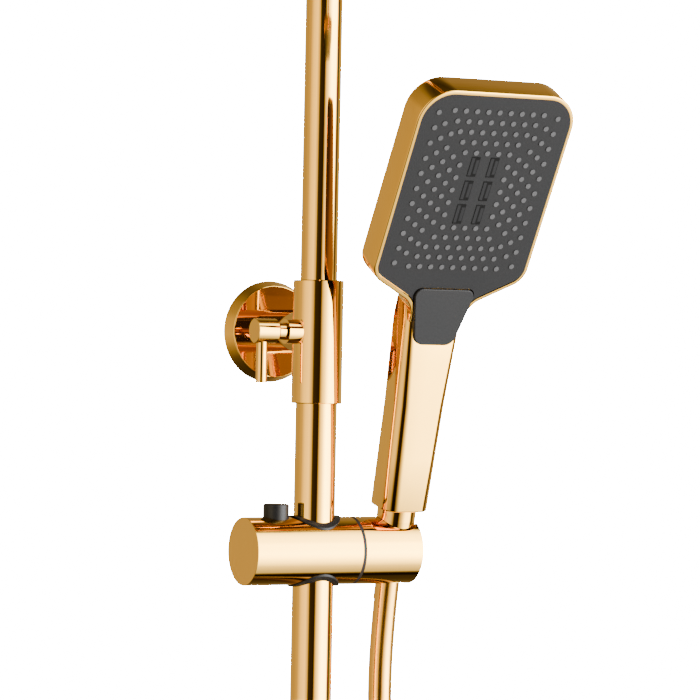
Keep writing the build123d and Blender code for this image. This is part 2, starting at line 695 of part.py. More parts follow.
def head_outline(inset, foot):
    """Half of the head's outline as points up the face, with a corner radius for each bend."""
    half = HEAD_W / 2 - inset
    slope = (HEAD_SHOULDER - NECK_S) / (HEAD_W / 2 - NECK_W / 2)
    shoulder = HEAD_SHOULDER + inset
    neck = NECK_W / 2 - inset
    neck_s = shoulder - slope * (half - neck)
    top = HEAD_TOP - inset
    points = [(0, top), (half, top), (half, shoulder), (neck, neck_s), (neck, foot), (0, foot)]
    radii = [HEAD_CORNER - inset, SHOULDER_CORNER - inset, NECK_CORNER, 0]
    return points, radii


def head_sketch(plane, inset, foot):
    """The head's outline inset all round and cut off at its foot."""
    points, radii = head_outline(inset, foot)
    with BuildSketch(plane) as sketch:
        with BuildLine():
            FilletPolyline(*points, radius=radii)
            mirror(about=Plane.YZ)
        make_face()
    return sketch


def chamber_sketch(plane, inset):
    """A rounded rectangle inside the head's outline, above its shoulders."""
    with BuildSketch(plane) as sketch:
        with Locations((0, (HEAD_TOP + HEAD_SHOULDER) / 2)):
            RectangleRounded(HEAD_W - 2 * inset, HEAD_TOP - HEAD_SHOULDER - 2 * inset, HEAD_CORNER - inset)
    return sketch


CHORD = math.atan2(
    MODE_UP * math.sin(TILT) + MODE_DOWN * math.sin(LEAN),
    MODE_UP * math.cos(TILT) + MODE_DOWN * math.cos(LEAN),
)
MODE_NORMAL = Vector(0, -math.cos(CHORD), -math.sin(CHORD))
MODE_FOOT = KNEE_POINT - AXIS * MODE_DOWN
MODE_H = (FACE_UP * MODE_UP + AXIS * MODE_DOWN).length


def mode_plane(height):
    """The plane of the mode button's front, bridging the bend of the neck, raised by a height."""
    return Plane(origin=MODE_FOOT + MODE_NORMAL * height, x_dir=(1, 0, 0), z_dir=MODE_NORMAL)


def mode_sketch(height, grow):
    """The mode button's outline, wider above than below, grown all round."""
    with BuildSketch(mode_plane(height)) as sketch:
        with BuildLine():
            FilletPolyline(
                (-MODE_FOOT_W / 2 - grow, -grow),
                (MODE_FOOT_W / 2 + grow, -grow),
                (MODE_TOP_W / 2 + grow, MODE_H + grow),
                (-MODE_TOP_W / 2 - grow, MODE_H + grow),
                radius=[MODE_T, MODE_T, MODE_T * 2 / 3, MODE_T * 2 / 3],
                close=True,
            )
        make_face()
    return sketch


MODE_POCKET = MODE_T + MODE_TRAVEL * 2
with BuildPart() as handset_body:
    extrude(head_sketch(face(), 0, NECK_FOOT).sketch, amount=HEAD_T, dir=-FACE_NORMAL)
    rear = handset_body.faces().sort_by(Axis(KNEE_POINT, FACE_NORMAL))[0]
    fillet(rear.edges().sort_by(Axis.Z)[1:], BACK_ROUND)
    for s, width, front, back, corner in HANDLE_SECTIONS:
        with BuildSketch(along(s, (front + back) / 2)):
            RectangleRounded(width, front - back, corner)
    loft()
    fillet(handset_body.faces().sort_by(Axis(SOCKET, AXIS))[0].edges(), FLANGE_T)
    plate_seat = head_sketch(face(), RIM - FIT, PLATE_FOOT - FIT)
    extrude(plate_seat.sketch, amount=PLATE_DEPTH, dir=-FACE_NORMAL, mode=Mode.SUBTRACT)
    chamber = chamber_sketch(face(PLATE_DEPTH), CAVITY_WALL * 2)
    extrude(chamber.sketch, amount=HEAD_T - PLATE_DEPTH - CAVITY_WALL, dir=-FACE_NORMAL, mode=Mode.SUBTRACT)
    extrude(mode_sketch(MODE_PROUD, GAP).sketch, amount=MODE_POCKET, dir=-MODE_NORMAL, mode=Mode.SUBTRACT)
    with BuildSketch(along(HANDLE_BOTTOM)):
        Circle(THREAD_R + FIT)
    extrude(amount=THREAD_TOP - HANDLE_BOTTOM, mode=Mode.SUBTRACT)
    with BuildSketch(along(THREAD_TOP)):
        Circle(INLET_STEP_R + FIT)
    extrude(amount=INLET_TOP - THREAD_TOP, mode=Mode.SUBTRACT)
    with BuildSketch(along(INLET_TOP, WATERWAY_Q)):
        Circle(WATERWAY_R + FIT)
    extrude(amount=KNEE - MODE_POCKET * 2 - INLET_TOP, mode=Mode.SUBTRACT)
pieces["handset_body"] = handset_body

pieces["waterway_tube"] = tube_piece(
    along(INLET_TOP, WATERWAY_Q), WATERWAY_R, WATERWAY_R - WATERWAY_WALL, KNEE - MODE_POCKET * 2 - INLET_TOP
)

with BuildPart() as spray_face:
    extrude(head_sketch(face(), RIM, PLATE_FOOT).sketch, amount=PLATE_DEPTH, dir=-FACE_NORMAL)
    button_gap = mode_sketch(MODE_PROUD + MODE_T, GAP * 2)
    extrude(button_gap.sketch, amount=MODE_T * 3, dir=-MODE_NORMAL, mode=Mode.SUBTRACT)
pieces["spray_face"] = spray_face

with BuildPart() as spray_gasket:
    seal = chamber_sketch(face(PLATE_DEPTH), CAVITY_WALL * 2 + FIT)
    extrude(seal.sketch, amount=PLATE_DEPTH / 2, dir=-FACE_NORMAL)
    seal_hole = chamber_sketch(face(PLATE_DEPTH), CAVITY_WALL * 3)
    extrude(seal_hole.sketch, amount=PLATE_DEPTH, dir=-FACE_NORMAL, mode=Mode.SUBTRACT)
pieces["spray_gasket"] = spray_gasket

NOZZLE_R = 1.2
NOZZLE_H = 0.8
NOZZLE_MARGIN = 9.0
NOZZLE_ROWS = 10
NOZZLE_COLUMNS = 8
FACE_MIDDLE = (HEAD_TOP + HEAD_SHOULDER) / 2
NOZZLE_W = HEAD_W - 2 * NOZZLE_MARGIN
NOZZLE_SPAN = HEAD_TOP - HEAD_SHOULDER - 2 * NOZZLE_MARGIN
NOZZLE_PITCH_X = NOZZLE_W / NOZZLE_COLUMNS
NOZZLE_PITCH_Y = NOZZLE_SPAN / NOZZLE_ROWS
with BuildPart() as spray_nozzles:
    with BuildSketch(face()):
        with Locations((0, FACE_MIDDLE)):
            with GridLocations(NOZZLE_PITCH_X, NOZZLE_PITCH_Y, NOZZLE_COLUMNS, NOZZLE_ROWS):
                Circle(NOZZLE_R)
    extrude(amount=NOZZLE_H)
pieces["spray_nozzles"] = spray_nozzles

with BuildPart() as mode_button:
    extrude(mode_sketch(MODE_PROUD, 0).sketch, amount=MODE_T, dir=-MODE_NORMAL)
    fillet(mode_button.faces().sort_by(Axis(MODE_FOOT, MODE_NORMAL))[-1].edges(), GAP * 2)
pieces["mode_button"] = mode_button

pieces["mode_button_spring"] = coil_piece(
    Plane(origin=mode_plane(MODE_PROUD - MODE_POCKET + FIT).from_local_coords(Vector(0, MODE_H / 2, 0)),
          x_dir=(1, 0, 0), z_dir=MODE_NORMAL),
    STEM_R,
    SPRING_WIRE,
    MODE_POCKET - MODE_T - 2 * FIT,
    2,
)

# ---------------------------------------------------------------- diverter at the foot of the riser
with BuildPart() as diverter_body:
    with BuildSketch(level(DIVERTER_BOTTOM)):
        Circle(DIVERTER_D / 2)
    extrude(amount=DIVERTER_TOP - DIVERTER_BOTTOM)
    chamfer(diverter_body.edges().filter_by(GeomType.CIRCLE), FLANGE_T)
    with BuildSketch(outward(0, DIVERTER_Z)):
        Circle(ARM_D / 2)
    extrude(amount=STANDOFF)
    with BuildSketch(outward(-STANDOFF, DIVERTER_Z)):
        Circle(CARTRIDGE_R + CAP_T)
    extrude(amount=CARTRIDGE_FRONT)
    with BuildSketch(level(DIVERTER_BOTTOM)):
        Circle(NIPPLE_R)
    extrude(amount=-NIPPLE_LENGTH)
    with BuildSketch(level(DIVERTER_BOTTOM - NIPPLE_LENGTH)):
        Circle(CHAMBER_R)
    extrude(amount=TUBE_BOTTOM - DIVERTER_BOTTOM + NIPPLE_LENGTH, mode=Mode.SUBTRACT)
    with BuildSketch(level(TUBE_BOTTOM)):
        Circle(TUBE_R + FIT)
    extrude(amount=DIVERTER_TOP - TUBE_BOTTOM, mode=Mode.SUBTRACT)
    with BuildSketch(outward(0, DIVERTER_Z)):
        Circle(INLET_R)
    extrude(amount=INLET_DEPTH, mode=Mode.SUBTRACT)
    with BuildSketch(outward(0, DIVERTER_Z)):
        Circle(CHAMBER_R)
    extrude(amount=STANDOFF, mode=Mode.SUBTRACT)
    with BuildSketch(outward(-STANDOFF, DIVERTER_Z)):
        Circle(CARTRIDGE_R + FIT)
    extrude(amount=CARTRIDGE_FRONT, mode=Mode.SUBTRACT)
pieces["diverter_body"] = diverter_body

with BuildPart() as tube_nut:
    with BuildSketch(level(DIVERTER_TOP)):
        Circle(TUBE_NUT_R)
        Circle(TUBE_R + FIT, mode=Mode.SUBTRACT)
    extrude(amount=TUBE_NUT_H)
    chamfer(tube_nut.edges().group_by(Axis.Z)[-1].sort_by(SortBy.LENGTH)[-1], FLANGE_T)
pieces["tube_nut"] = tube_nut

with BuildPart() as diverter_cartridge:
    with BuildSketch(outward(-STANDOFF, DIVERTER_Z)):
        Circle(CARTRIDGE_R)
        Circle(SPINDLE_R + RUNNING, mode=Mode.SUBTRACT)
    extrude(amount=CARTRIDGE_FRONT - GAP)
pieces["diverter_cartridge"] = diverter_cartridge

HANDLE_Y = -STANDOFF - CARTRIDGE_FRONT - GAP
with BuildPart() as diverter_knob:
    with BuildSketch(outward(HANDLE_Y, DIVERTER_Z)):
        Circle(HANDLE_R)
    extrude(amount=HANDLE_LENGTH)
    chamfer(diverter_knob.edges().filter_by(GeomType.CIRCLE), FLANGE_T)
    with BuildSketch(outward(HANDLE_Y, DIVERTER_Z)):
        Circle(SPINDLE_R + FIT)
    extrude(amount=HANDLE_LENGTH / 2, mode=Mode.SUBTRACT)
    with BuildSketch(level(DIVERTER_Z + HANDLE_R - LEVER_D, 0, HANDLE_Y - HANDLE_LENGTH / 2)):
        Circle(LEVER_D / 2 + FIT)
    extrude(amount=HANDLE_R, mode=Mode.SUBTRACT)
pieces["diverter_knob"] = diverter_knob

with BuildPart() as diverter_lever:
    with BuildSketch(level(DIVERTER_Z + HANDLE_R - LEVER_D, 0, HANDLE_Y - HANDLE_LENGTH / 2)):
        Circle(LEVER_D / 2)
    extrude(amount=-LEVER_TIP)
    fillet(diverter_lever.edges().group_by(Axis.Z)[-1], GAP)
pieces["diverter_lever"] = diverter_lever

with BuildPart() as diverter_spindle:
    with BuildSketch(outward(-STANDOFF - CHAMBER_R, DIVERTER_Z)):
        Circle(SPINDLE_R)
    extrude(amount=CARTRIDGE_FRONT + GAP - CHAMBER_R + HANDLE_LENGTH / 2)
pieces["diverter_spindle"] = diverter_spindle

HOSE_NUT_TOP = DIVERTER_BOTTOM - FLANGE_T
HOSE_NUT_H = 34.0
HOSE_NUT_R = 13.2
HOSE_FACE = DIVERTER_BOTTOM - NIPPLE_LENGTH - WASHER_T
with BuildPart() as hose_lower_nut:
    with BuildSketch(level(HOSE_NUT_TOP)):
        Circle(HOSE_NUT_R)
    extrude(amount=-HOSE_NUT_H / 2)
    with BuildSketch(level(HOSE_NUT_TOP - HOSE_NUT_H / 2)):
        Circle(HOSE_NUT_R)
    with BuildSketch(level(HOSE_NUT_TOP - HOSE_NUT_H)):
        Circle(HOSE_R + WASHER_T)
    loft()
    with BuildSketch(level(HOSE_NUT_TOP)):
        Circle(NIPPLE_R + FIT)
    extrude(amount=HOSE_FACE - HOSE_NUT_TOP, mode=Mode.SUBTRACT)
    with BuildSketch(level(HOSE_FACE)):
        Circle(HOSE_R + FIT)
    extrude(amount=-HOSE_NUT_H, mode=Mode.SUBTRACT)
pieces["hose_lower_nut"] = hose_lower_nut

pieces["hose_lower_washer"] = tube_piece(level(HOSE_FACE), NIPPLE_R, HOSE_BORE / 2, WASHER_T)

# ---------------------------------------------------------------- hose, hanging in one long loop
HOSE_ROUTE = (
    tuple(SOCKET + AXIS * HOSE_START),
    tuple(SOCKET - AXIS * 44.0),
    (51.5, -50.5, -232.0),
    (56.0, -51.0, -350.0),
    (74.0, -52.0, -510.0),
    (95.0, -53.5, -700.0),
    (109.0, -55.0, -880.0),
    (112.0, -56.0, -998.0),
    (110.0, -57.0, -1079.0),
    (76.0, -58.0, -1133.0),
    (18.0, -58.5, -1155.0),
    (-42.0, -59.0, -1136.0),
    (-78.0, -59.5, -1085.0),
    (-68.0, -60.0, -994.0),
    (-36.0, -61.0, -922.0),
    (-9.0, -61.5, -878.0),
    (0.0, -STANDOFF, -841.0),
    (0.0, -STANDOFF, HOSE_FACE),
)


def bend_radii(points):
    """Each bend's arc radius: 0.45 of its shorter run over the tangent of half the turn."""
    corners = [Vector(*point) for point in points]
    radii = []
    for before, corner, after in zip(corners, corners[1:], corners[2:]):
        turn = math.radians((corner - before).get_angle(after - corner))
        shorter = min((corner - before).length, (after - corner).length)
        radii.append(0.45 * shorter / math.tan(turn / 2))
    return radii


hose_radii = bend_radii(HOSE_ROUTE)
with BuildPart() as hose:
    with BuildLine() as hose_line:
        FilletPolyline(*HOSE_ROUTE, radius=hose_radii)
    with BuildSketch(along(HOSE_START)):
        Circle(HOSE_R)
    sweep()
pieces["hose"] = hose

# ---------------------------------------------------------------- write the pieces
os.makedirs("parts", exist_ok=True)
for label, piece in pieces.items():
    piece.part.label = label
    export_step(piece.part, f"parts/{label}.step")

print("hose bend radii", [round(radius) for radius in hose_radii])
hose_length = sum(edge.length for edge in hose_line.edges())
hose_ratio = hose.part.volume / (math.pi * HOSE_R**2 * hose_length)
print("hose length", round(hose_length), "volume ratio", round(hose_ratio, 4))
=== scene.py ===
"""Looks for a wall-mounted rainfall shower column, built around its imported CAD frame.

Lengths in the classes are in millimetres and become metres when a mesh is placed.
"""

import json
import logging
import math
from dataclasses import dataclass, field
from enum import Enum

import bmesh
import bpy
from mathutils import Matrix, Vector

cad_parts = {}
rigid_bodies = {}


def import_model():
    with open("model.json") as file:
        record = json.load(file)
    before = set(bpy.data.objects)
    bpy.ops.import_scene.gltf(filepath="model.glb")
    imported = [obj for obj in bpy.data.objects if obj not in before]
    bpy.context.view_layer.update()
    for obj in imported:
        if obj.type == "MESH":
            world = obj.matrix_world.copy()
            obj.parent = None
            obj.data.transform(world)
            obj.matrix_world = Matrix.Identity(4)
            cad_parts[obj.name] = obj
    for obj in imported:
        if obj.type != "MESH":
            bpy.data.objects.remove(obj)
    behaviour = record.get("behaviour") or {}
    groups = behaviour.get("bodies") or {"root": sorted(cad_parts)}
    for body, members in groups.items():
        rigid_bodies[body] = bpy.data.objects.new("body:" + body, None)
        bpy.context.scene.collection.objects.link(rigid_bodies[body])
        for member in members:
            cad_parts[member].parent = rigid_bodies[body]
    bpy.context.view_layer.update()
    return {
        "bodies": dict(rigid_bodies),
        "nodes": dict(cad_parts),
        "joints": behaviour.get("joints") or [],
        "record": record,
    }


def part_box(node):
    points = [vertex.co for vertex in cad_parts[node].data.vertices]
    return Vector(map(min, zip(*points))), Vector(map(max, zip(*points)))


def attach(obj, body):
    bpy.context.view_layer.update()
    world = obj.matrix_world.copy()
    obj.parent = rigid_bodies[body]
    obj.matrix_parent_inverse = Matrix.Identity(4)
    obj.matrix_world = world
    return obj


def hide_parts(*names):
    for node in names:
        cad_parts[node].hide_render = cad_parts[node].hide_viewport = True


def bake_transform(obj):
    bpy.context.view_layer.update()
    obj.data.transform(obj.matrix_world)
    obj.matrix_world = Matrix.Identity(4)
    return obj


LOG = logging.getLogger("shower_column")
MM = 0.001
CLOUD_MM = 40.0
MERGE_MM = 0.0005


class Body(Enum):
    """The moving bodies that pieces ride on."""

    COLUMN = "column"
    RAIN_HEAD = "rain_head"
    SLIDER = "slider"
    HOLDER = "holder"
    HOSE_NUT = "hose_nut"
    HANDSET = "handset"


class Slot(Enum):
    """The material slots of the record."""

    POLISHED_GOLD = "polished_gold"
    PLATED_PLASTIC = "gold_plated_plastic"
    GOLD_HOSE = "gold_hose"
    BLACK_FACE = "black_face"
    BLACK_TRIM = "black_trim"
    SEAM_GREY = "seam_grey"
    NOZZLE_RUBBER = "nozzle_rubber"
    SEAL_RUBBER = "seal_rubber"
    BARE_STEEL = "bare_steel"
    BARE_BRASS = "bare_brass"
    BEARING_PLASTIC = "bearing_plastic"


def linear(colour: str) -> tuple[float, float, float, float]:
    """Turns an sRGB hex colour to linear RGBA.

    Args:
        colour: Six hex digits after a hash sign.

    Returns:
        Linear red, green and blue, and an alpha of 1.
    """
    parts = [int(colour[i : i + 2], 16) / 255 for i in (1, 3, 5)]
    red, green, blue = (p / 12.92 if p <= 0.04045 else ((p + 0.055) / 1.055) ** 2.4 for p in parts)
    return (red, green, blue, 1.0)


def add_node(
    tree: bpy.types.NodeTree, kind: str, inputs: dict | None = None, **settings: object
) -> bpy.types.Node:
    """Adds a node with its settings, values and links.

    Args:
        tree: The node tree.
        kind: The node's type name.
        inputs: Socket name or number to a value, or to an output socket to link from.
        **settings: Attributes of the node.

    Returns:
        The new node.
    """
    node = tree.nodes.new(kind)
    for name, value in settings.items():
        setattr(node, name, value)
    for key, value in (inputs or {}).items():
        if isinstance(value, bpy.types.NodeSocket):
            tree.links.new(value, node.inputs[key])
        else:
            node.inputs[key].default_value = value
    return node


def set_stops(
    ramp: bpy.types.ColorRamp, stops: list[tuple[float, tuple[float, float, float, float]]]
) -> None:
    """Sets a colour ramp's stops.

    Args:
        ramp: The ramp.
        stops: Position and linear colour of each stop, in order.
    """
    while len(ramp.elements) > 1:
        ramp.elements.remove(ramp.elements[-1])
    ramp.elements[0].position, ramp.elements[0].color = stops[0]
    for position, colour in stops[1:]:
        ramp.elements.new(position).color = colour


# ---------------------------------------------------------------- finishes


@dataclass(frozen=True)
class Finish:
    """A surface with a grain in its relief and in its gloss."""

    name: str
    colour: str
    metallic: float = 0.0
    roughness: float = 0.4
    roughness_spread: float = 0.05
    grain_mm: float = 1.0
    relief_mm: float = 0.01
    mottle: float = 0.04
    coat: float = 0.0
    specular: float = 0.5

    def material(self) -> bpy.types.Material:
        """Builds the material.

        Returns:
            A material whose gloss, tone and relief vary with the grain.
        """
        material = bpy.data.materials.new(self.name)
        material.use_nodes = True
        tree = material.node_tree
        shader = tree.nodes["Principled BSDF"]
        place = add_node(tree, "ShaderNodeTexCoord")
        grain = add_node(
            tree,
            "ShaderNodeTexNoise",
            {
                "Vector": place.outputs["Object"],
                "Scale": 1 / (self.grain_mm * MM),
                "Detail": 3.0,
                "Roughness": 0.55,
            },
        )
        cloud = add_node(
            tree,
            "ShaderNodeTexNoise",
            {"Vector": place.outputs["Object"], "Scale": 1 / (CLOUD_MM * MM), "Detail": 2.0},
        )
        gloss = add_node(
            tree,
            "ShaderNodeMapRange",
            {
                "Value": cloud.outputs["Fac"],
                "From Min": 0.3,
                "From Max": 0.7,
                "To Min": max(0.0, self.roughness - self.roughness_spread),
                "To Max": self.roughness + self.roughness_spread,
            },
        )
        tone = add_node(tree, "ShaderNodeValToRGB", {"Fac": cloud.outputs["Fac"]})
        base = linear(self.colour)
        low = tuple(c * (1 - self.mottle) for c in base[:3]) + (1.0,)
        high = tuple(min(1.0, c * (1 + self.mottle)) for c in base[:3]) + (1.0,)
        set_stops(tone.color_ramp, [(0.3, low), (0.7, high)])
        relief = add_node(
            tree,
            "ShaderNodeBump",
            {"Height": grain.outputs["Fac"], "Distance": self.relief_mm * MM, "Strength": 0.6},
        )
        tree.links.new(tone.outputs["Color"], shader.inputs["Base Color"])
        tree.links.new(gloss.outputs["Result"], shader.inputs["Roughness"])
        tree.links.new(relief.outputs["Normal"], shader.inputs["Normal"])
        shader.inputs["Metallic"].default_value = self.metallic
        shader.inputs["Specular IOR Level"].default_value = self.specular
        shader.inputs["Coat Weight"].default_value = self.coat
        shader.inputs["Coat Roughness"].default_value = 0.08
        return material


FINISHES: dict[Slot, Finish] = {
    # Vapour-deposited titanium nitride over polished brass: a mirror with an orange-gold tint,
    # and a faint waviness.
    Slot.POLISHED_GOLD: Finish("vapour_coated_brass", "#F1BA50", 1.0, 0.05, 0.02, 14.0, 0.03, 0.03),
    # The same coating over chromed moulded plastic, a little softer and wavier than on metal.
    Slot.PLATED_PLASTIC: Finish("vapour_coated_abs", "#F1BA50", 1.0, 0.07, 0.025, 18.0, 0.04, 0.03),
    # A metallic film under clear PVC, extruded as a smooth hose.
    Slot.GOLD_HOSE: Finish("metallic_pvc_hose", "#ECB048", 1.0, 0.2, 0.03, 3.0, 0.02, 0.05, 0.4),
    # Moulded ABS with a fine spark-eroded grain, which scatters the light evenly.
    Slot.BLACK_FACE: Finish("spark_eroded_black_abs", "#18181A", 0.0, 0.5, 0.05, 0.5, 0.02, 0.08, 0.0, 0.22),
    # Smooth acetal, darker and a little glossier than the spray face.
    Slot.BLACK_TRIM: Finish("black_acetal", "#161618", 0.0, 0.38, 0.06, 0.9, 0.015, 0.08, 0.0, 0.2),
    # Glass-filled nylon washer, dull and brownish, darkened to near black as painted shade in the seam it
    # sits in.
    Slot.SEAM_GREY: Finish("nylon_washer_and_painted_seam_shade", "#241D19", 0.0, 0.55, 0.05, 0.7, 0.02, 0.08, 0.0, 0.2),
    # Soft silicone, slightly translucent looking through its dull skin.
    Slot.NOZZLE_RUBBER: Finish("grey_silicone", "#404043", 0.0, 0.5, 0.08, 0.6, 0.02, 0.1, 0.0, 0.4),
    # Black nitrile rubber, darkened to near black so the slot pads also carry painted shade for the recessed
    # waterfall slots.
    Slot.SEAL_RUBBER: Finish("nitrile_rubber_and_painted_slot_shade", "#0C0C0D", 0.0, 0.7, 0.08, 0.8, 0.02, 0.1, 0.0, 0.1),
    # Turned stainless steel.
    Slot.BARE_STEEL: Finish("turned_stainless", "#A9A9A8", 1.0, 0.3, 0.08, 0.6, 0.01, 0.05),
    # Machined brass without any coating.
    Slot.BARE_BRASS: Finish("machined_brass", "#C9A35A", 1.0, 0.28, 0.08, 0.6, 0.01, 0.06),
    # White acetal bearings.
    Slot.BEARING_PLASTIC: Finish("white_acetal", "#E6E3DA", 0.0, 0.42, 0.05, 0.8, 0.01, 0.03),
}


@dataclass
class Workshop:
    """Holds the loaded frame, makes each material once and finishes each piece."""

    frame: dict
    materials: dict[Slot, bpy.types.Material] = field(default_factory=dict)

    def finish_for(self, slot: Slot) -> bpy.types.Material:
        """Returns the slot's material, made on first use."""
        if slot not in self.materials:
            self.materials[slot] = FINISHES[slot].material()
        return self.materials[slot]

    def dress_frame(self) -> None:
        """Gives every CAD node the finish of its slot."""
        for entry in self.frame["record"]["subparts"]:
            node = self.frame["nodes"][entry["node"]]
            node.data.materials.clear()
            node.data.materials.append(self.finish_for(Slot(entry["material_slot"])))

    def piece(
        self,
        name: str,
        shape: bmesh.types.BMesh,
        slot: Slot,
        place: Matrix | None = None,
        body: Body | None = None,
        instead_of: tuple[str, ...] = (),
        smooth_deg: float = 40.0,
    ) -> bpy.types.Object:
        """Turns a mesh in millimetres into a finished object at the origin.

        Args:
            name: The piece's name.
            shape: The mesh, which is freed here.
            slot: The material slot.
            place: Where the mesh goes, in millimetres in the row's frame.
            body: The body it rides on, if it rides on just one.
            instead_of: CAD nodes that it stands for.
            smooth_deg: Edges sharper than this stay crisp.

        Returns:
            The new object.
        """
        bmesh.ops.remove_doubles(shape, verts=shape.verts, dist=MERGE_MM)
        bmesh.ops.recalc_face_normals(shape, faces=shape.faces)
        if place is not None:
            bmesh.ops.transform(shape, matrix=place, verts=shape.verts)
        bmesh.ops.scale(shape, vec=(MM, MM, MM), verts=shape.verts)
        for face in shape.faces:
            face.smooth = True
        for edge in shape.edges:
            edge.smooth = len(edge.link_faces) == 2 and edge.calc_face_angle(0.0) < math.radians(smooth_deg)
        mesh = bpy.data.meshes.new(name)
        shape.to_mesh(mesh)
        shape.free()
        thing = bpy.data.objects.new(name, mesh)
        bpy.context.scene.collection.objects.link(thing)
        thing.data.materials.append(self.finish_for(slot))
        if body is not None:
            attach(thing, body.value)
        if instead_of:
            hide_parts(*instead_of)
        LOG.info("made %s with %d faces", name, len(mesh.polygons))
        return thing


# ---------------------------------------------------------------- shared shapes


def frame_at(origin: Vector, normal: Vector, across: Vector) -> Matrix:
    """Returns the matrix that takes local X to across, local Z to normal and the origin to a point."""
    up = normal.cross(across)
    return Matrix.Translation(origin) @ Matrix((across, up, normal)).transposed().to_4x4()


def rounded_outline(
    shape: bmesh.types.BMesh, corners: list[tuple[float, float, float]], segments: int = 10
) -> bmesh.types.BMFace:
    """Makes a flat face with rounded corners.

    Args:
        shape: The mesh it goes in.
        corners: X, Y and radius of each corner, in order round the face.
        segments: How many runs each rounded corner has.

    Returns:
        The face.
    """
    points = [shape.verts.new((x, y, 0)) for x, y, _ in corners]
    face = shape.faces.new(points)
    for index, (x, y, radius) in enumerate(corners):
        if radius <= 0:
            continue
        here = Vector((x, y))
        before = (Vector(corners[index - 1][:2]) - here).normalized()
        after = (Vector(corners[(index + 1) % len(corners)][:2]) - here).normalized()
        reach = radius / math.tan(before.angle(after) / 2)
        bmesh.ops.bevel(
            shape,
            geom=[points[index]],
            offset=reach,
            offset_type="OFFSET",
            segments=segments,
            profile=0.5,
            affect="VERTICES",
            material=-1,
        )
        face = max(shape.faces, key=lambda item: item.calc_area())
    return face


# ---------------------------------------------------------------- the handset's frame of reference


@dataclass(frozen=True)
class HandsetAxes:
    """Where the handset stands: its leaned axis, the bend of its neck and its spray face."""

    socket: Vector = Vector((51.5, -62.0, -126.4))
    lean_deg: float = 13.0
    knee: float = 139.5
    front: float = 15.4
    tilt_deg: float = 30.0

    @property
    def along(self) -> Vector:
        """The handset's axis, pointing up the handle."""
        lean = math.radians(self.lean_deg)
        return Vector((0, -math.sin(lean), math.cos(lean)))

    @property
    def forward(self) -> Vector:
        """Square to the axis, towards the room."""
        lean = math.radians(self.lean_deg)
        return Vector((0, -math.cos(lean), -math.sin(lean)))

    @property
    def knee_point(self) -> Vector:
        """Where the handle's front meets the spray face."""
        return self.socket + self.along * self.knee + self.forward * self.front

    @property
    def face_place(self) -> Matrix:
        """X across, Y up the spray face and Z out of it, from the knee."""
        tilt = math.radians(self.tilt_deg)
        return frame_at(self.knee_point, Vector((0, -math.cos(tilt), -math.sin(tilt))), Vector((1, 0, 0)))

    def axis_place(self, distance: float) -> Matrix:
        """X across, Y backwards and Z up the handle, from a distance along the axis."""
        return frame_at(self.socket + self.along * distance, self.along, Vector((1, 0, 0)))


AXES = HandsetAxes()


# ---------------------------------------------------------------- handset


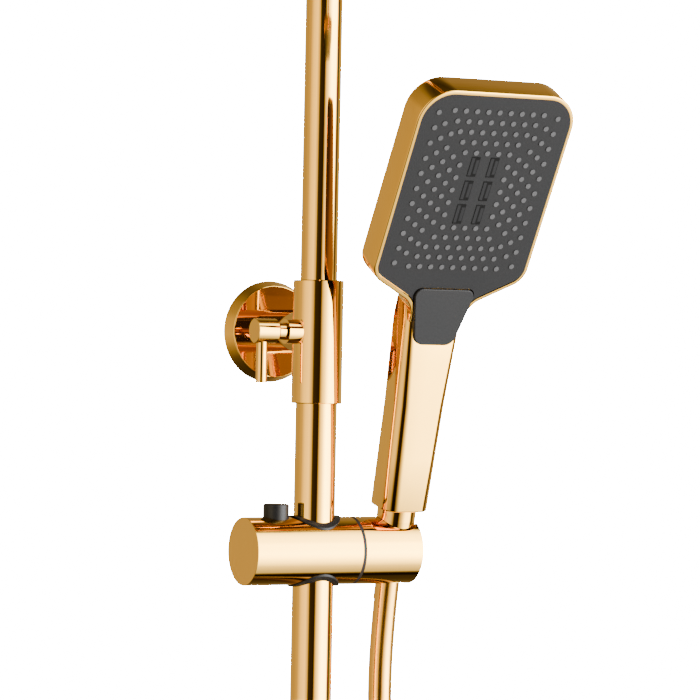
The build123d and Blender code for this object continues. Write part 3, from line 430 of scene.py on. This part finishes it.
@dataclass
class SprayField:
    """The soft nozzles and the slots of the handset's spray face."""

    half_width: float = 48.0
    top: float = 145.3
    bottom: float = 27.5
    margin: float = 9.6
    row_pitch: float = 6.4
    dot_pitch: float = 7.2
    column_pitch: float = 5.7
    nozzle_radius: float = 1.6
    nozzle_steps: tuple[tuple[float, float], ...] = ((0.35, 0.55), (0.2, 0.2), (0.35, -0.35))
    rings: int = 5
    row_dots: int = 9
    side_dots: int = 11
    side_pitch: float = 9.5
    side_pitch_loss: float = 0.4
    clear: float = 4.2
    slot_across: float = 6.15
    slot_pitch: float = 15.0
    pad_size: tuple[float, float, float] = (5.6, 12.4, 0.5)
    pad_height: float = -0.05
    slit_width: float = 1.9
    slit_height: float = 0.18
    slit_pair: tuple[tuple[float, float], ...] = ((-1.5, 11.0), (1.5, 8.6))
    slit_steps: tuple[tuple[float, float], ...] = ((0.25, 0.25), (0.15, 0.0), (0.1, -0.22))

    @property
    def middle(self) -> float:
        """The height of the field's middle on the face."""
        return (self.top + self.bottom) / 2

    def slot_centres(self) -> list[tuple[float, float]]:
        """X and Y of the six waterfall slots, row by row."""
        return [
            (column * self.slot_across, self.middle + row * self.slot_pitch)
            for row in (-1, 0, 1)
            for column in (-1, 1)
        ]

    def nozzle_centres(self) -> list[tuple[float, float]]:
        """Lays out the nozzles.

        Returns:
            X and Y of each nozzle on the face: short rows above and below, staggered columns at both sides.
        """
        centres = []
        middle = self.middle
        half_height = (self.top - self.bottom) / 2
        for row in range(self.rings):
            count = self.row_dots - row
            for side in (1, -1):
                height = middle + side * (half_height - self.margin - row * self.row_pitch)
                for index in range(count):
                    centres.append(((index - (count - 1) / 2) * self.dot_pitch, height))
        for column in range(self.rings):
            count = self.side_dots - column
            pitch = self.side_pitch - self.side_pitch_loss * column
            for side in (1, -1):
                across = side * (self.half_width - self.margin - column * self.column_pitch)
                for index in range(count):
                    height = middle + (index - (count - 1) / 2) * pitch
                    if all(math.hypot(across - x, height - y) > self.clear for x, y in centres):
                        centres.append((across, height))
        return centres

    def nozzle(self, shape: bmesh.types.BMesh, centre: tuple[float, float]) -> None:
        """Adds one nozzle: a low cone with a rolled lip round its hole.

        Args:
            shape: The mesh that it joins.
            centre: X and Y of its axis.
        """
        foot = bmesh.ops.create_circle(shape, cap_ends=True, radius=self.nozzle_radius, segments=12)
        bmesh.ops.translate(shape, verts=foot["verts"], vec=(centre[0], centre[1], 0))
        face = foot["verts"][0].link_faces[0]
        for inset, rise in self.nozzle_steps:
            bmesh.ops.inset_region(shape, faces=[face], thickness=inset, depth=0)
            bmesh.ops.translate(shape, verts=face.verts, vec=(0, 0, rise))

    def slot_pads(self) -> bmesh.types.BMesh:
        """Makes the six soft pads that the waterfall slits are cut in.

        Returns:
            The pads' mesh, standing a little out of the face.
        """
        shape = bmesh.new()
        for x, y in self.slot_centres():
            pad = bmesh.ops.create_cube(shape, size=1.0)
            bmesh.ops.scale(shape, verts=pad["verts"], vec=self.pad_size)
            bmesh.ops.translate(shape, verts=pad["verts"], vec=(x, y, self.pad_height))
        return shape

    def slits(self) -> bmesh.types.BMesh:
        """Makes the six waterfall slots as raised lips round pairs of slits.

        Returns:
            The slots' mesh on the face.
        """
        shape = bmesh.new()
        for x, y in self.slot_centres():
            for aside, length in self.slit_pair:
                bar = bmesh.ops.create_grid(shape, x_segments=1, y_segments=1, size=0.5)
                bmesh.ops.scale(shape, verts=bar["verts"], vec=(self.slit_width, length, 1))
                bmesh.ops.translate(shape, verts=bar["verts"], vec=(x + aside, y, self.slit_height))
                face = bar["verts"][0].link_faces[0]
                for inset, rise in self.slit_steps:
                    bmesh.ops.inset_region(shape, faces=[face], thickness=inset, depth=0)
                    bmesh.ops.translate(shape, verts=face.verts, vec=(0, 0, rise))
        return shape


@dataclass
class Handset:
    """The hand shower: its head shell, handle, spray face and mode button."""

    width: float = 100.4
    top: float = 147.5
    shoulder: float = 30.0
    neck_width: float = 36.8
    neck_height: float = 12.3
    neck_foot_width: float = 34.6
    thickness: float = 21.0
    rim: float = 2.2
    handle_sections: tuple[tuple[float, float, float, float, float], ...] = (
        (26.6, 29.5, 14.6, -11.4, 8.0),
        (58.0, 30.6, 14.95, -10.0, 7.5),
        (90.0, 32.0, 15.2, -8.5, 7.0),
        (116.0, 34.1, 15.35, -7.2, 6.0),
        (139.5, 36.0, 15.4, -6.0, 5.0),
        (152.0, 37.0, 14.0, -3.0, 4.5),
    )
    spray: SprayField = field(default_factory=SprayField)

    def head_shell(self) -> bmesh.types.BMesh:
        """Makes the head's shell with its rounded back and the recess for the spray face.

        Returns:
            The shell on the face's plane.
        """
        half = self.width / 2
        neck = self.neck_width / 2
        corners = [
            (half, self.top, 20.0),
            (-half, self.top, 20.0),
            (-half, self.shoulder, 12.0),
            (-neck, self.neck_height, 14.0),
            (-self.neck_foot_width / 2, 0.5, 0.0),
            (self.neck_foot_width / 2, 0.5, 0.0),
            (neck, self.neck_height, 14.0),
            (half, self.shoulder, 12.0),
        ]
        shape = bmesh.new()
        face = rounded_outline(shape, corners, 14)
        wall = bmesh.ops.extrude_face_region(shape, geom=[face])
        moved = [item for item in wall["geom"] if isinstance(item, bmesh.types.BMVert)]
        bmesh.ops.translate(shape, verts=moved, vec=(0, 0, -self.thickness))
        bmesh.ops.recalc_face_normals(shape, faces=shape.faces)
        flats = [f for f in shape.faces if abs(f.normal.z) > 0.9]
        flats.sort(key=lambda f: f.calc_center_median().z)
        back_edges = list(flats[0].edges)
        front_edges = list(flats[-1].edges)
        for edges, offset, segments in ((back_edges, 4.4, 6), (front_edges, 0.7, 3)):
            bmesh.ops.bevel(
                shape,
                geom=edges,
                offset=offset,
                offset_type="OFFSET",
                segments=segments,
                profile=0.5,
                affect="EDGES",
                material=-1,
                clamp_overlap=True,
            )
        front = max(
            (f for f in shape.faces if f.normal.z > 0.9), key=lambda f: f.calc_area()
        )
        bmesh.ops.inset_region(shape, faces=[front], thickness=self.rim - 0.7, depth=0, use_even_offset=True)
        bmesh.ops.inset_region(shape, faces=[front], thickness=0.05, depth=0, use_even_offset=True)
        bmesh.ops.translate(shape, verts=front.verts, vec=(0, 0, -3.2))
        return shape

    def handle(self) -> bmesh.types.BMesh:
        """Makes the tapered handle by bridging its rounded sections.

        Returns:
            The handle in the axis frame.
        """
        shape = bmesh.new()
        rings = []
        for distance, width, front, back, radius in self.handle_sections:
            half = width / 2
            outline = [
                (-half, -front, radius),
                (half, -front, radius),
                (half, -back, radius),
                (-half, -back, radius),
            ]
            part = bmesh.new()
            rounded_outline(part, outline, 10)
            ring = [shape.verts.new((v.co.x, v.co.y, distance)) for v in part.faces[:][0].verts]
            part.free()
            rings.append([shape.edges.new(pair) for pair in zip(ring, ring[1:] + ring[:1])])
        for lower, upper in zip(rings, rings[1:]):
            bmesh.ops.bridge_loops(shape, edges=lower + upper)
        for ring in (rings[0], rings[-1]):
            bmesh.ops.contextual_create(shape, geom=ring)
        bmesh.ops.recalc_face_normals(shape, faces=shape.faces)
        bmesh.ops.bevel(
            shape,
            geom=rings[0],
            offset=0.9,
            offset_type="OFFSET",
            segments=3,
            profile=0.5,
            affect="EDGES",
            material=-1,
        )
        return shape

    def build(self, shop: Workshop) -> None:
        """Makes and places the handset's pieces.

        Args:
            shop: Finishes the pieces.
        """
        shell = ("handset_body",)
        face = AXES.face_place
        shop.piece("handset_head_shell", self.head_shell(), Slot.PLATED_PLASTIC, face, Body.HANDSET, shell)
        shop.piece(
            "handset_handle", self.handle(), Slot.PLATED_PLASTIC, AXES.axis_place(0.0), Body.HANDSET, shell
        )
        nozzles = bmesh.new()
        for centre in self.spray.nozzle_centres():
            self.spray.nozzle(nozzles, centre)
        shop.piece(
            "handset_nozzles", nozzles, Slot.NOZZLE_RUBBER, face, Body.HANDSET, ("spray_nozzles",), 60.0
        )
        # The pads' near-black colour is partly the rubber's own and partly painted shade for the slot
        # openings.
        shop.piece("handset_slot_pads", self.spray.slot_pads(), Slot.SEAL_RUBBER, face, Body.HANDSET)
        shop.piece("handset_slits", self.spray.slits(), Slot.BLACK_TRIM, face, Body.HANDSET)


# ---------------------------------------------------------------- overhead spray


@dataclass
class RainHead:
    """The overhead spray's field of soft nozzles."""

    centre: Vector = field(default_factory=lambda: Vector((0.0, -412.0, 175.0)))
    pitch: float = 11.0
    count: int = 18
    corner_reach: float = 170.3

    def nozzles(self) -> bmesh.types.BMesh:
        """Makes the studs under the plate.

        Returns:
            The studs, standing on the plate's plane and pointing up in this mesh.
        """
        shape = bmesh.new()
        field_shape = SprayField(nozzle_radius=1.6)
        reach = (self.count - 1) / 2
        for row in range(self.count):
            for column in range(self.count):
                x = (column - reach) * self.pitch
                y = (row - reach) * self.pitch
                if abs(x) + abs(y) < self.corner_reach:
                    field_shape.nozzle(shape, (x, y))
        return shape

    def build(self, shop: Workshop) -> None:
        """Makes the studs and places them under the head.

        Args:
            shop: Finishes the pieces.
        """
        low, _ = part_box("rain_head_plate")
        bottom = Vector((self.centre.x, self.centre.y, low[2] / MM))
        place = frame_at(bottom, Vector((0, 0, -1)), Vector((1, 0, 0)))
        studs = self.nozzles()
        shop.piece(
            "rain_head_studs", studs, Slot.NOZZLE_RUBBER, place, Body.RAIN_HEAD, ("rain_head_nozzles",), 60.0
        )


# ---------------------------------------------------------------- hose


@dataclass
class Hose:
    """The shower hose: one smooth line from the handset's nut to the diverter."""

    radius: float = 7.0
    route: tuple[tuple[float, float, float], ...] = (
        (51.5, -50.5, -232.0),
        (56.0, -51.0, -350.0),
        (74.0, -52.0, -510.0),
        (95.0, -53.5, -700.0),
        (109.0, -55.0, -880.0),
        (112.0, -56.0, -998.0),
        (110.0, -57.0, -1079.0),
        (76.0, -58.0, -1133.0),
        (18.0, -58.5, -1155.0),
        (-42.0, -59.0, -1136.0),
        (-78.0, -59.5, -1085.0),
        (-68.0, -60.0, -994.0),
        (-36.0, -61.0, -922.0),
        (-9.0, -61.5, -878.0),
        (0.0, -62.0, -841.0),
        (0.0, -62.0, -804.0),
    )
    start: float = 8.0
    below_nut: float = -44.0
    parting_z: float = -270.0
    parting_y: float = -45.0
    lower_end: tuple[float, float, float] = (0.0, -62.0, -800.0)
    nut_run: tuple[float, ...] = (8.0, -6.0, -18.0, -30.0)
    tail_slack: float = 0.06
    tilt_start: float = -20.0

    def points(self) -> list[Vector]:
        """The route's points, from the handset's nut down and round to the diverter."""
        top = [AXES.socket + AXES.along * self.start, AXES.socket + AXES.along * self.below_nut]
        return top + [Vector(point) for point in self.route]

    def line(self) -> list[Vector]:
        """Reads the smooth line of the whole route.

        Returns:
            Points along the route's spline, in millimetres.
        """
        curve = bpy.data.curves.new("hose_line", "CURVE")
        curve.dimensions = "3D"
        curve.resolution_u = 24
        points = self.points()
        spline = curve.splines.new("NURBS")
        spline.points.add(len(points) - 1)
        for control, point in zip(spline.points, points):
            control.co = (*point, 1.0)
        spline.order_u = 3
        spline.use_endpoint_u = True
        holder = bpy.data.objects.new("hose_line", curve)
        bpy.context.scene.collection.objects.link(holder)
        bpy.context.view_layer.update()
        mesh = bpy.data.meshes.new_from_object(holder)
        line = [vertex.co.copy() for vertex in mesh.vertices]
        bpy.data.objects.remove(holder)
        bpy.data.meshes.remove(mesh)
        return line

    def tube(self, path: list[Vector], radius: float, sides: int = 32) -> bmesh.types.BMesh:
        """Lofts a round tube along a path.

        Args:
            path: The points that it follows.
            radius: Its radius.
            sides: How many facets go round it.

        Returns:
            The closed tube.
        """
        shape = bmesh.new()
        rings = []
        across = Vector((1, 0, 0))
        for index, point in enumerate(path):
            ahead = path[min(index + 1, len(path) - 1)] - path[max(index - 1, 0)]
            heading = ahead.normalized()
            across = (across - heading * across.dot(heading)).normalized()
            ring = bmesh.ops.create_circle(shape, cap_ends=False, radius=radius, segments=sides)["verts"]
            bmesh.ops.transform(shape, matrix=frame_at(point, heading, across), verts=ring)
            rings.append(list({edge for vert in ring for edge in vert.link_edges}))
        for lower, upper in zip(rings, rings[1:]):
            bmesh.ops.bridge_loops(shape, edges=lower + upper)
        for ring in (rings[0], rings[-1]):
            bmesh.ops.contextual_create(shape, geom=ring)
        return shape

    def build(self, shop: Workshop) -> None:
        """Makes the two lengths of hose and the tail inside the nut.

        Args:
            shop: Finishes the pieces.
        """
        line = self.line()
        near_top = [index for index, point in enumerate(line) if point.y <= self.parting_y]
        parting = min(near_top, key=lambda index: abs(line[index].z - self.parting_z))
        upper, lower = line[: parting + 1], line[parting:]
        pieces = []
        for name, path in (("hose_upper", upper), ("hose_lower", lower)):
            piece = shop.piece(name, self.tube(path, self.radius), Slot.GOLD_HOSE, instead_of=("hose",))
            pieces.append(piece)
        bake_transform(pieces[0])
        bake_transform(pieces[1])
        tail = [AXES.socket + AXES.along * distance for distance in self.nut_run]
        inner = self.radius - self.tail_slack
        shop.piece("hose_tail", self.tube(tail, inner), Slot.GOLD_HOSE, body=Body.HOSE_NUT)


# ---------------------------------------------------------------- studio


@dataclass
class Studio:
    """The camera, floor, lamps and soft surroundings."""

    look_at: tuple[float, float, float] = (0.0166, -0.0709, -0.0100)
    distance: float = 2.0
    left_deg: float = 28.3
    roll_deg: float = 1.14
    lens_mm: float = 177.942857
    sensor_mm: float = 36.0
    floor_z: float = -1.17
    backdrop: float = 40.0
    dim_tint: tuple[float, float, float] = (1.0, 0.78, 0.36)
    white_level: float = 9.0
    stops: tuple[tuple[float, float], ...] = (
        # degrees to the right of the camera as seen from the object, brightness
        (-180.0, 0.7),
        (-110.0, 0.8),
        (-82.0, 1.1),
        (-60.0, 2.6),
        (-36.0, 3.2),
        (-22.0, 1.4),
        (-15.0, 0.06),
        (13.0, 0.03),
        (20.0, 1.4),
        (38.0, 5.5),
        (60.0, 18.0),
        (90.0, 16.0),
        (99.0, 1.8),
        (105.0, 0.14),
        (118.0, 0.18),
        (130.0, 0.95),
        (180.0, 0.7),
    )

    levels: tuple[tuple[float, float], ...] = (
        # height of the direction on the unit sphere, share of the wall's brightness
        (-1.0, 0.02),
        (-0.95, 0.035),
        (-0.85, 0.07),
        (-0.68, 0.16),
        (-0.44, 0.5),
        (-0.28, 0.8),
        (-0.1, 1.0),
        (0.35, 0.85),
        (0.5, 0.6),
        (0.72, 0.5),
        (0.8, 0.36),
        (0.86, 0.14),
        (0.93, 0.07),
        (1.0, 0.12),
    )

    def camera(self) -> None:
        """Stands the camera where it looks slightly from the left, with its small roll."""
        turn = math.radians(self.left_deg)
        ahead = Vector((math.sin(turn), math.cos(turn), 0))
        right = Vector((math.cos(turn), -math.sin(turn), 0))
        roll = math.radians(self.roll_deg)
        up = Vector((0, 0, 1))
        across = right * math.cos(roll) + up * math.sin(roll)
        upward = up * math.cos(roll) - right * math.sin(roll)
        data = bpy.data.cameras.new("studio_camera")
        data.sensor_width = self.sensor_mm
        data.lens = self.lens_mm
        data.clip_end = 50.0
        camera = bpy.data.objects.new("studio_camera", data)
        camera.matrix_world = (
            Matrix.Translation(Vector(self.look_at) - ahead * self.distance)
            @ Matrix((across, upward, -ahead)).transposed().to_4x4()
        )
        bpy.context.scene.collection.objects.link(camera)
        bpy.context.scene.camera = camera

    def wall_tint(self, level: float) -> tuple[float, float, float]:
        """Gives the colour of a part of the walls: warm where they are dim and white where they are lit.

        Args:
            level: The brightness of that part.

        Returns:
            Red, green and blue.
        """
        share = min(1.0, level / self.white_level)
        return tuple(c + (1.0 - c) * share for c in self.dim_tint)

    def surroundings(self) -> None:
        """Makes the surroundings: bright soft walls parted by dark strips, dark overhead and underfoot."""
        world = bpy.data.worlds.new("studio_surroundings")
        bpy.context.scene.world = world
        world.use_nodes = True
        tree = world.node_tree
        tree.nodes.clear()
        place = add_node(tree, "ShaderNodeTexCoord")
        split = add_node(tree, "ShaderNodeSeparateXYZ", {"Vector": place.outputs["Generated"]})
        turn = add_node(
            tree, "ShaderNodeMath", {0: split.outputs["Y"], 1: split.outputs["X"]}, operation="ARCTAN2"
        )
        toward = math.radians(self.left_deg + 90.0)
        share = add_node(
            tree,
            "ShaderNodeMath",
            {0: turn.outputs[0], 1: toward + math.pi},
            operation="ADD",
        )
        scaled = add_node(
            tree, "ShaderNodeMath", {0: share.outputs[0], 1: 1 / (2 * math.pi)}, operation="MULTIPLY"
        )
        wrapped = add_node(
            tree, "ShaderNodeMath", {0: scaled.outputs[0], 1: 1.0}, operation="FLOORED_MODULO"
        )
        walls = add_node(tree, "ShaderNodeValToRGB", {"Fac": wrapped.outputs[0]})
        brightest = max(level for _, level in self.stops)
        stops = []
        for angle, level in self.stops:
            colour = tuple(level / brightest * part for part in self.wall_tint(level)) + (1.0,)
            stops.append(((angle + 180.0) / 360.0, colour))
        set_stops(walls.color_ramp, stops)
        height = add_node(
            tree, "ShaderNodeMapRange", {"Value": split.outputs["Z"], "From Min": -1.0, "From Max": 1.0}
        )
        levels = add_node(tree, "ShaderNodeValToRGB", {"Fac": height.outputs["Result"]})
        set_stops(levels.color_ramp, [((z + 1) / 2, (level,) * 3 + (1.0,)) for z, level in self.levels])
        mixed = add_node(
            tree, "ShaderNodeMix",
            {0: 1.0, 6: walls.outputs["Color"], 7: levels.outputs["Color"]},
            data_type="RGBA", blend_type="MULTIPLY",
        )
        seen = add_node(tree, "ShaderNodeBackground", {"Color": mixed.outputs[2], "Strength": brightest})
        white = add_node(
            tree, "ShaderNodeBackground", {"Color": (1.0, 1.0, 1.0, 1.0), "Strength": self.backdrop}
        )
        path = add_node(tree, "ShaderNodeLightPath")
        choice = add_node(
            tree,
            "ShaderNodeMixShader",
            {0: path.outputs["Is Camera Ray"], 1: seen.outputs[0], 2: white.outputs[0]},
        )
        add_node(tree, "ShaderNodeOutputWorld", {"Surface": choice.outputs[0]})

    def lamps(self) -> None:
        """Adds two broad soft lamps for the black plastic."""
        for name, place, size, power in (
            ("key_lamp", (-1.1, -1.9, 1.4), 1.0, 22.0),
            ("fill_lamp", (1.8, -1.6, 0.6), 1.2, 14.0),
        ):
            data = bpy.data.lights.new(name, "AREA")
            data.size = size
            data.energy = power
            lamp = bpy.data.objects.new(name, data)
            lamp.location = place
            lamp.rotation_euler = (Vector(self.look_at) - Vector(place)).to_track_quat("-Z", "Y").to_euler()
            lamp.visible_glossy = False
            bpy.context.scene.collection.objects.link(lamp)

    def floor(self, shop: Workshop) -> None:
        """Lays a pale floor below the hose.

        Args:
            shop: Not used.
        """
        shape = bmesh.new()
        bmesh.ops.create_grid(shape, x_segments=1, y_segments=1, size=1.6)
        bmesh.ops.translate(shape, verts=shape.verts, vec=(0, 0, self.floor_z))
        mesh = bpy.data.meshes.new("studio_floor")
        shape.to_mesh(mesh)
        shape.free()
        floor = bpy.data.objects.new("studio_floor", mesh)
        bpy.context.scene.collection.objects.link(floor)
        floor.data.materials.append(
            Finish("pale_floor_paint", "#F2F1EE", 0.0, 0.7, 0.02, 4.0, 0.01, 0.01).material()
        )
        floor.visible_glossy = False

    def build(self, shop: Workshop) -> None:
        """Sets up the whole studio.

        Args:
            shop: Not used; passed on to the floor, which ignores it.
        """
        self.camera()
        self.surroundings()
        self.lamps()
        self.floor(shop)
        LOG.info("studio ready")


def main() -> None:
    """Builds the studio, dresses the frame and makes each assembly in turn."""
    logging.basicConfig(level=logging.INFO, format="%(name)s: %(message)s")
    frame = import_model()
    shop = Workshop(frame)
    Studio().build(shop)
    Hose().build(shop)
    shop.dress_frame()
    Handset().build(shop)
    RainHead().build(shop)


if __name__ == "__main__":
    main()
